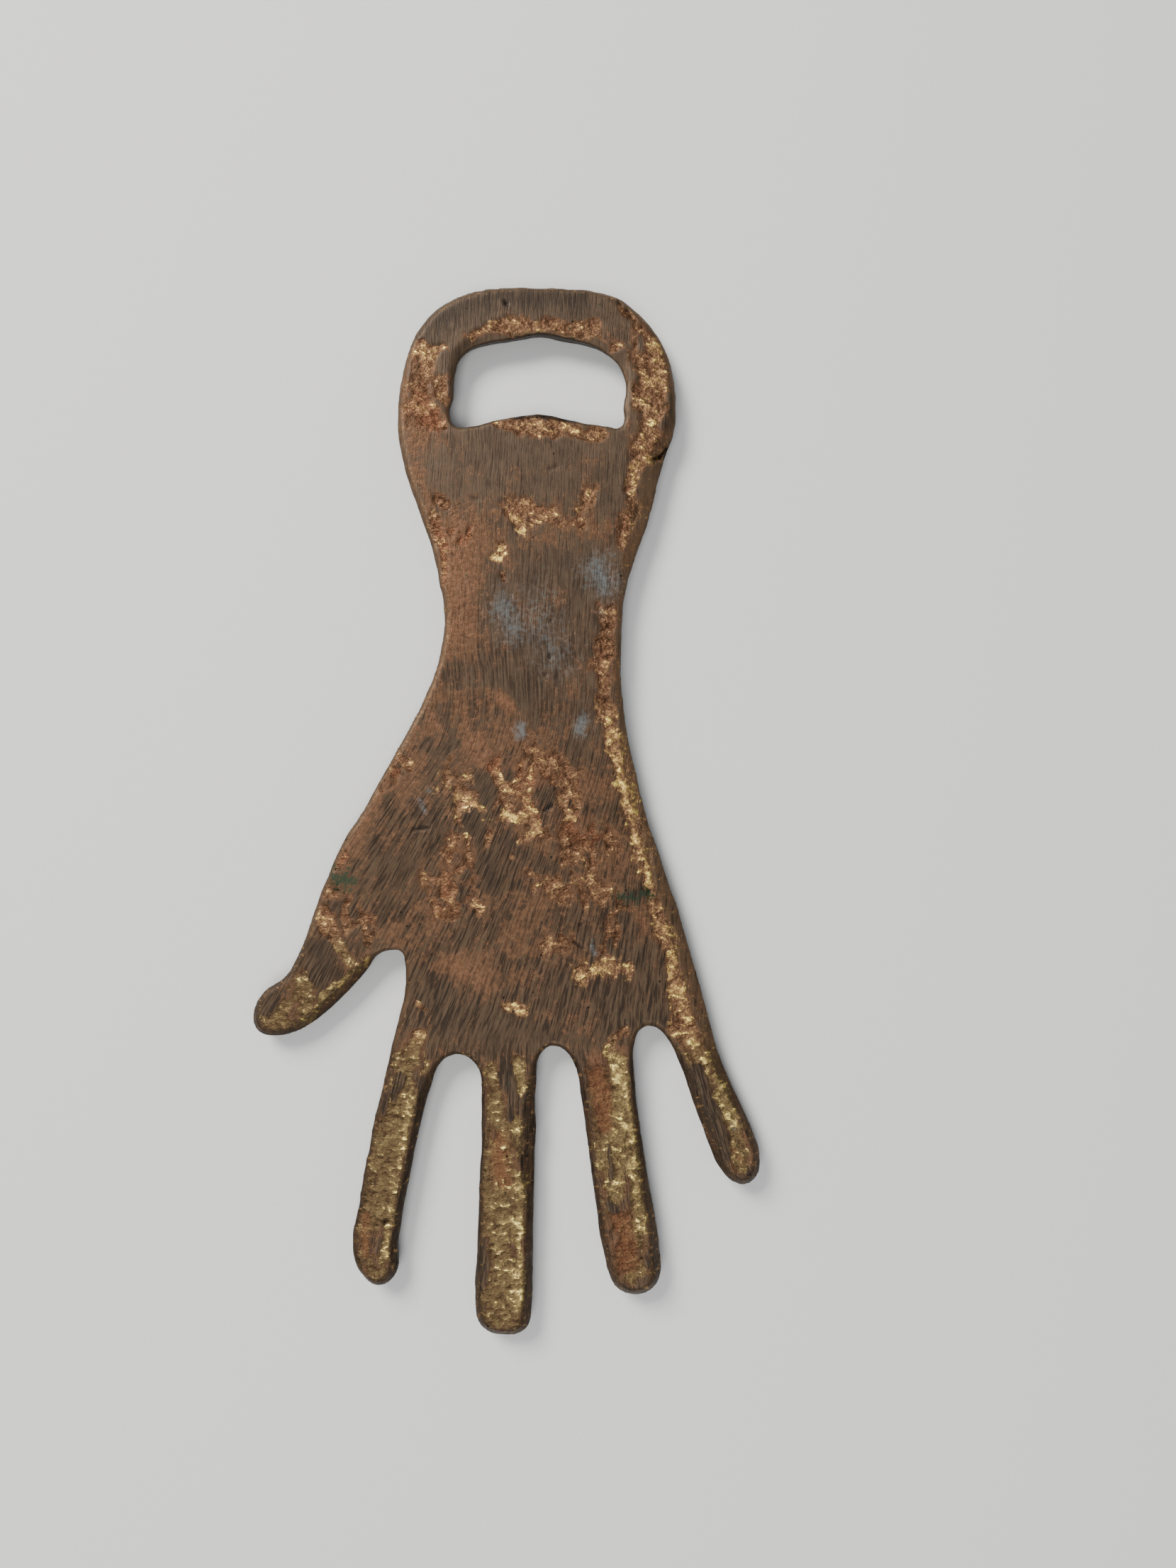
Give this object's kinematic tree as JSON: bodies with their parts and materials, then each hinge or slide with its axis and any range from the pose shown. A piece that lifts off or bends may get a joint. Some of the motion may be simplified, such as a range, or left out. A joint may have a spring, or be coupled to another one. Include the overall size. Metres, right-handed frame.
{
  "type": "bottle opener",
  "caption": "Flat cast bottle opener shaped like an open hand and forearm, with a ring-shaped end whose mouth has a bowed lip to hook a crown cap.",
  "frame": {"origin": "centre of the bounding box's base, on the back face that the opener lies on", "axes": "+Y from the fingertips to the ring, +X from the thumb's side to the little finger's side, +Z out of the filed front face"},
  "size_m": [0.081, 0.168, 0.0045],
  "materials": {
    "aged_brass": "hand-filed casting with a brown patina and brassy worn patches"
  },
  "bodies": {
    "root": {"opener_casting": "aged_brass"}
  },
  "joints": []
}
